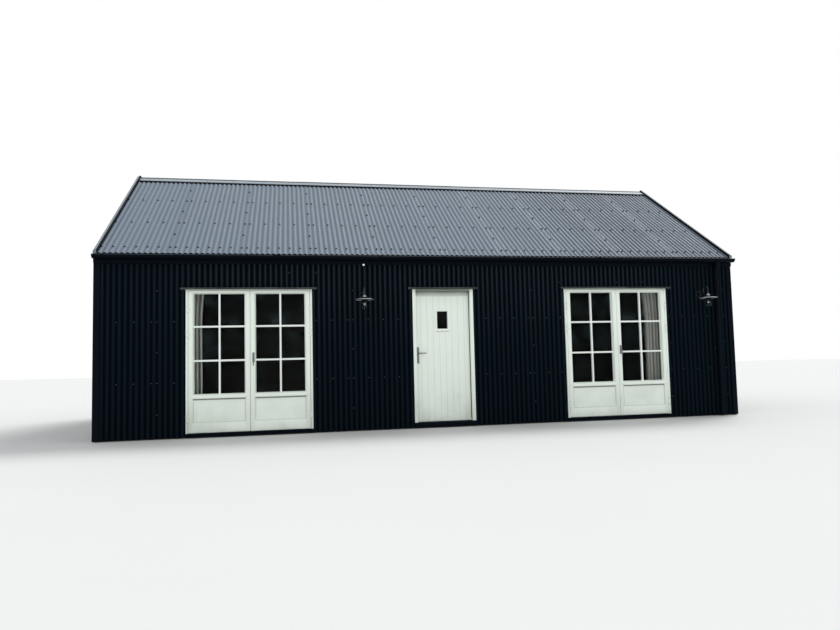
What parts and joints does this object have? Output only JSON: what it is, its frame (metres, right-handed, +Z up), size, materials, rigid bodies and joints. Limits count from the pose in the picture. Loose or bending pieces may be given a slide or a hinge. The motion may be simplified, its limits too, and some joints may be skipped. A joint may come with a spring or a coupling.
{
  "type": "corrugated metal garden cabin",
  "caption": "Gabled black corrugated cabin with a grey corrugated roof, two pairs of glazed doors, a boarded front door, wall lamps and gutters.",
  "frame": {"origin": "centre of the footprint at ground level, on the underside of the floor", "axes": "+X along the front from left to right, +Y from the front to the back, +Z up"},
  "size_m": [9.912, 5.7474, 4.4369],
  "materials": {
    "timber_framing": "sawn and planed",
    "black_cladding": "satin coil coating",
    "roof_sheet": "satin coil coating",
    "pale_flashing": "satin coil coating",
    "black_trim": "satin",
    "white_joinery": "satin paint",
    "door_glass": "clear",
    "door_steel": "satin",
    "lamp_metal": "galvanised",
    "lamp_glass": "clear",
    "curtain_cloth": "plain weave",
    "floor_boards": "oiled"
  },
  "bodies": {
    "hut": {"floor_slab": "floor_boards", "front_wall_piers": "timber_framing", "front_wall_head": "timber_framing", "back_wall": "timber_framing", "left_gable_wall": "timber_framing", "right_gable_wall": "timber_framing", "front_cladding_piers": "black_cladding", "front_cladding_head": "black_cladding", "back_cladding": "black_cladding", "left_gable_cladding": "black_cladding", "right_gable_cladding": "black_cladding", "front_roof_deck": "timber_framing", "back_roof_deck": "timber_framing", "front_roof_sheets": "roof_sheet", "back_roof_sheets": "roof_sheet", "ridge_cap": "roof_sheet", "verge_caps": "pale_flashing", "corner_flashings": "black_cladding", "fascias": "black_trim", "front_gutter": "black_trim", "back_gutter": "black_trim", "downpipes": "black_trim", "door_head_flashings": "pale_flashing", "door_thresholds": "black_trim", "front_door_frame": "white_joinery", "left_glazed_frame": "white_joinery", "right_glazed_frame": "white_joinery", "frame_hinges": "door_steel", "wall_lamps": "lamp_metal", "lamp_globes": "lamp_glass", "eaves_sensor": "black_trim", "curtain_rails": "door_steel", "left_curtain": "curtain_cloth", "right_curtain": "curtain_cloth"},
    "front_door": {"front_door_leaf": "white_joinery", "front_door_glass": "door_glass", "front_door_furniture": "door_steel"},
    "front_door_handle": {"front_door_lever": "door_steel"},
    "left_pair_left_door": {"left_pair_left_leaf": "white_joinery", "left_pair_left_glass": "door_glass", "left_pair_left_furniture": "door_steel"},
    "left_pair_right_door": {"left_pair_right_leaf": "white_joinery", "left_pair_right_glass": "door_glass", "left_pair_right_furniture": "door_steel"},
    "left_pair_handle": {"left_pair_lever": "door_steel"},
    "right_pair_left_door": {"right_pair_left_leaf": "white_joinery", "right_pair_left_glass": "door_glass", "right_pair_left_furniture": "door_steel"},
    "right_pair_right_door": {"right_pair_right_leaf": "white_joinery", "right_pair_right_glass": "door_glass", "right_pair_right_furniture": "door_steel"},
    "right_pair_handle": {"right_pair_lever": "door_steel"}
  },
  "joints": [
    {"name": "front_door_swing", "type": "hinge", "parent": "hut", "child": "front_door", "pos_m": [0.4385, -2.481, 1.08], "axis": [0, 0, -1], "range_deg": [0, 95]},
    {"name": "front_door_handle_turn", "type": "hinge", "parent": "front_door", "child": "front_door_handle", "pos_m": [-0.391, -2.511, 1.124], "axis": [0, 1, 0], "range_deg": [0, 40], "stiffness_Nm_per_rad": 1.2, "springref_deg": -45.84},
    {"name": "left_pair_left_swing", "type": "hinge", "parent": "hut", "child": "left_pair_left_door", "pos_m": [-3.704, -2.621, 1.08], "axis": [0, 0, -1], "range_deg": [0, 100]},
    {"name": "left_pair_right_swing", "type": "hinge", "parent": "hut", "child": "left_pair_right_door", "pos_m": [-2.004, -2.621, 1.08], "axis": [0, 0, 1], "range_deg": [0, 100]},
    {"name": "left_pair_handle_turn", "type": "hinge", "parent": "left_pair_right_door", "child": "left_pair_handle", "pos_m": [-2.8095, -2.58, 1.124], "axis": [0, -1, 0], "range_deg": [0, 90]},
    {"name": "right_pair_left_swing", "type": "hinge", "parent": "hut", "child": "right_pair_left_door", "pos_m": [2.004, -2.621, 1.08], "axis": [0, 0, -1], "range_deg": [0, 100]},
    {"name": "right_pair_right_swing", "type": "hinge", "parent": "hut", "child": "right_pair_right_door", "pos_m": [3.704, -2.621, 1.08], "axis": [0, 0, 1], "range_deg": [0, 100]},
    {"name": "right_pair_handle_turn", "type": "hinge", "parent": "right_pair_right_door", "child": "right_pair_handle", "pos_m": [2.8985, -2.58, 1.124], "axis": [0, -1, 0], "range_deg": [0, 90]}
  ]
}
